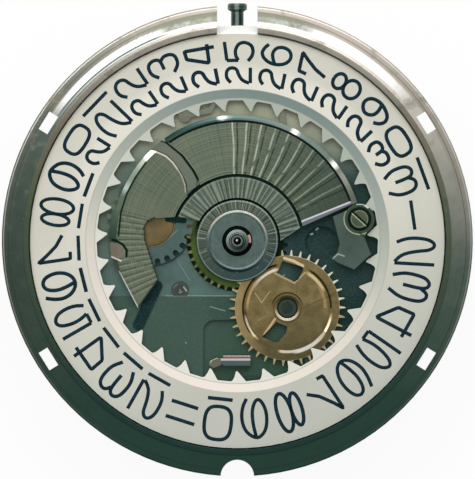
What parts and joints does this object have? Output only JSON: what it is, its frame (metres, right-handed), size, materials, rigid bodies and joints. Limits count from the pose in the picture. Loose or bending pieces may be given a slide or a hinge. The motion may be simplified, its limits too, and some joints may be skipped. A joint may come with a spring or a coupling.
{
  "type": "watch movement",
  "caption": "Self-winding watch movement, dial side up, with date disc, calendar works, keyless works, going train, balance and rotor.",
  "frame": {"origin": "on the axis of the hands, at the outer face of the rotor", "axes": "+Z along the axis of the hands towards the dial side, +Y along the winding stem towards the crown, +X right"},
  "size_m": [0.026, 0.0262, 0.0073],
  "materials": {
    "plate": "nickel-plated brass, fine matt",
    "bridge": "nickel-plated brass, fine brushed",
    "ring": "nickel-plated, bright edges",
    "disc": "matt warm white print with dark numerals",
    "cover": "sunray-brushed, polished bevel",
    "hub": "radially brushed, bright rim",
    "hour_brass": "bright, green reflections",
    "brass": "gilded, matt",
    "train_brass": "gilded, circular-grained",
    "copper": "copper-coloured, matt",
    "steel": "polished steel",
    "dark_steel": "dark steel, polished",
    "keeper": "brushed steel",
    "screw_blue": "blued steel, polished",
    "spring": "spring steel",
    "hairspring": "blued alloy",
    "ruby": "synthetic ruby, polished",
    "rotor": "brushed, bright edges",
    "weight": "heavy alloy, brushed"
  },
  "bodies": {
    "root": {"main_plate": "plate", "dial_ring": "ring", "calendar_plate": "cover", "minute_work_cover": "cover", "centre_cover": "cover", "date_wheel_screw": "dark_steel", "date_jumper": "steel", "disc_keeper": "keeper", "keeper_screw": "keeper", "setting_lever_spring": "steel", "click_spring": "spring", "centre_bridge": "bridge", "pallet_bridge": "bridge", "balance_cock": "bridge", "regulator": "steel", "barrel_bridge": "bridge", "train_bridge": "bridge", "jewels": "ruby", "bridge_screws": "screw_blue", "automatic_bridge": "bridge", "bearing_race": "steel", "rotor_screw": "screw_blue"},
    "date_disc": {"date_disc": "disc"},
    "hour": {"hour_wheel": "hour_brass", "hub_washer": "hub"},
    "cannon": {"cannon_pinion": "steel"},
    "minute": {"minute_wheel": "brass"},
    "setting": {"setting_wheel": "steel"},
    "intermediate": {"intermediate_wheel": "steel", "intermediate_core": "copper"},
    "date_drive": {"date_driving_wheel": "brass", "date_finger": "brass"},
    "winding": {"winding_pinion": "steel"},
    "stem": {"stem": "dark_steel"},
    "sliding": {"sliding_pinion": "steel"},
    "setting_lever": {"setting_lever": "steel"},
    "yoke": {"yoke": "steel"},
    "crown": {"crown_wheel": "steel"},
    "ratchet": {"ratchet_wheel": "steel", "ratchet_screw": "screw_blue", "barrel_arbor": "steel"},
    "click": {"click": "steel"},
    "barrel": {"barrel_drum": "train_brass", "barrel_lid": "train_brass", "mainspring": "spring"},
    "centre": {"centre_wheel": "train_brass"},
    "third": {"third_wheel": "train_brass"},
    "fourth": {"fourth_wheel": "train_brass"},
    "escape": {"escape_wheel": "steel"},
    "fork": {"pallet_fork": "steel"},
    "balance": {"balance_wheel": "train_brass", "hairspring": "hairspring"},
    "rotor": {"rotor_plate": "rotor", "rotor_weight": "weight", "rotor_gear": "steel", "bearing_balls": "steel"},
    "reversing": {"reversing_wheel": "train_brass"},
    "reversing_pinion": {"reversing_pinion": "steel"},
    "reduction": {"reduction_wheel": "train_brass"}
  },
  "joints": [
    {"name": "date_disc_turn", "type": "hinge", "parent": "root", "child": "date_disc", "pos_m": [0, 0, 0.0053], "axis": [0, 0, 1], "continuous": true, "deforming": ["date_jumper"]},
    {"name": "hands_turn", "type": "hinge", "parent": "root", "child": "cannon", "pos_m": [0, 0, 0.0048], "axis": [0, 0, 1], "continuous": true, "deforming": ["date_finger"]},
    {"name": "hour_turn", "type": "hinge", "parent": "root", "child": "hour", "pos_m": [0, 0, 0.005], "axis": [0, 0, 1], "continuous": true},
    {"name": "minute_turn", "type": "hinge", "parent": "root", "child": "minute", "pos_m": [-0.0022, 0.00256, 0.00483], "axis": [0, 0, 1], "continuous": true},
    {"name": "setting_turn", "type": "hinge", "parent": "root", "child": "setting", "pos_m": [0.0014, 0.00376, 0.00483], "axis": [0, 0, 1], "continuous": true},
    {"name": "intermediate_turn", "type": "hinge", "parent": "root", "child": "intermediate", "pos_m": [-0.00482, 0.00104, 0.0051], "axis": [0, 0, 1], "continuous": true},
    {"name": "date_drive_turn", "type": "hinge", "parent": "root", "child": "date_drive", "pos_m": [0.00276, -0.00371, 0.0051], "axis": [0, 0, 1], "continuous": true},
    {"name": "stem_turn", "type": "hinge", "parent": "root", "child": "winding", "pos_m": [0, 0.0073, 0.00335], "axis": [0, 1, 0], "continuous": true},
    {"name": "stem_pull", "type": "slide", "parent": "winding", "child": "stem", "axis": [0, 1, 0], "range_m": [0, 0.0011]},
    {"name": "sliding_pinion_shift", "type": "slide", "parent": "winding", "child": "sliding", "axis": [0, 1, 0], "range_m": [-0.00055, 0]},
    {"name": "setting_lever_turn", "type": "hinge", "parent": "root", "child": "setting_lever", "pos_m": [-0.0022, 0.00985, 0.00484], "axis": [0, 0, 1], "range_deg": [0, 28.95]},
    {"name": "yoke_turn", "type": "hinge", "parent": "root", "child": "yoke", "pos_m": [0.0027, 0.0057, 0.00484], "axis": [0, 0, 1], "range_deg": [0, 11.69]},
    {"name": "crown_wheel_turn", "type": "hinge", "parent": "root", "child": "crown", "pos_m": [0, 0.0049, 0.0021], "axis": [0, 0, 1], "continuous": true},
    {"name": "ratchet_turn", "type": "hinge", "parent": "root", "child": "ratchet", "pos_m": [0.00574, 0.00154, 0.0021], "axis": [0, 0, 1], "continuous": true},
    {"name": "click_turn", "type": "hinge", "parent": "root", "child": "click", "pos_m": [0.00827, 0.00629, 0.0021], "axis": [0, 0, 1], "range_deg": [0, 5]},
    {"name": "centre_turn", "type": "hinge", "parent": "root", "child": "centre", "pos_m": [0, 0, 0.0038], "axis": [0, 0, 1], "continuous": true},
    {"name": "barrel_turn", "type": "hinge", "parent": "root", "child": "barrel", "pos_m": [0.00574, 0.00154, 0.0032], "axis": [0, 0, 1], "continuous": true},
    {"name": "third_turn", "type": "hinge", "parent": "root", "child": "third", "pos_m": [-0.00316, -0.00271, 0.0032], "axis": [0, 0, 1], "continuous": true},
    {"name": "fourth_turn", "type": "hinge", "parent": "root", "child": "fourth", "pos_m": [0, 0, 0.0026], "axis": [0, 0, 1], "continuous": true},
    {"name": "escape_turn", "type": "hinge", "parent": "root", "child": "escape", "pos_m": [-0.00346, 0.002, 0.00348], "axis": [0, 0, 1], "continuous": true},
    {"name": "fork_swing", "type": "hinge", "parent": "root", "child": "fork", "pos_m": [-0.00506, 0.0008, 0.00348], "axis": [0, 0, 1], "range_deg": [-5, 5]},
    {"name": "balance_swing", "type": "hinge", "parent": "root", "child": "balance", "pos_m": [-0.00753, -0.00106, 0.003], "axis": [0, 0, 1], "range_deg": [-270, 270], "stiffness_Nm_per_rad": 0.0000004, "deforming": ["hairspring"]},
    {"name": "rotor_turn", "type": "hinge", "parent": "root", "child": "rotor", "pos_m": [0, 0, 0.0006], "axis": [0, 0, 1], "continuous": true},
    {"name": "reversing_turn", "type": "hinge", "parent": "root", "child": "reversing", "pos_m": [0.00372, -0.00135, 0.0009], "axis": [0, 0, 1], "continuous": true},
    {"name": "reversing_pinion_turn", "type": "hinge", "parent": "root", "child": "reversing_pinion", "pos_m": [0.00372, -0.00135, 0.0013], "axis": [0, 0, 1], "continuous": true},
    {"name": "reduction_turn", "type": "hinge", "parent": "root", "child": "reduction", "pos_m": [0.00487, -0.00343, 0.0016], "axis": [0, 0, 1], "continuous": true}
  ],
  "couplings": [
    {"joint": "hour_turn", "follows": "hands_turn", "ratio": 0.083333},
    {"joint": "minute_turn", "follows": "hands_turn", "ratio": -0.33333},
    {"joint": "setting_turn", "follows": "hands_turn", "ratio": 0.66667},
    {"joint": "intermediate_turn", "follows": "hands_turn", "ratio": 1.7143},
    {"joint": "date_drive_turn", "follows": "hands_turn", "ratio": -0.041667},
    {"joint": "sliding_pinion_shift", "follows": "stem_pull", "ratio": -0.5},
    {"joint": "setting_lever_turn", "follows": "stem_pull", "rad_per_m": 459.42},
    {"joint": "yoke_turn", "follows": "stem_pull", "rad_per_m": 185.51},
    {"joint": "crown_wheel_turn", "follows": "stem_turn", "ratio": 0.5},
    {"joint": "ratchet_turn", "follows": "stem_turn", "ratio": -0.28571},
    {"joint": "reduction_turn", "follows": "stem_turn", "ratio": 1.5},
    {"joint": "reversing_pinion_turn", "follows": "stem_turn", "ratio": -8.25},
    {"joint": "barrel_turn", "follows": "centre_turn", "ratio": -0.13889},
    {"joint": "third_turn", "follows": "centre_turn", "ratio": -8},
    {"joint": "fourth_turn", "follows": "centre_turn", "ratio": 60},
    {"joint": "escape_turn", "follows": "centre_turn", "ratio": -720},
    {"joint": "reversing_turn", "follows": "rotor_turn", "ratio": -1.2}
  ]
}
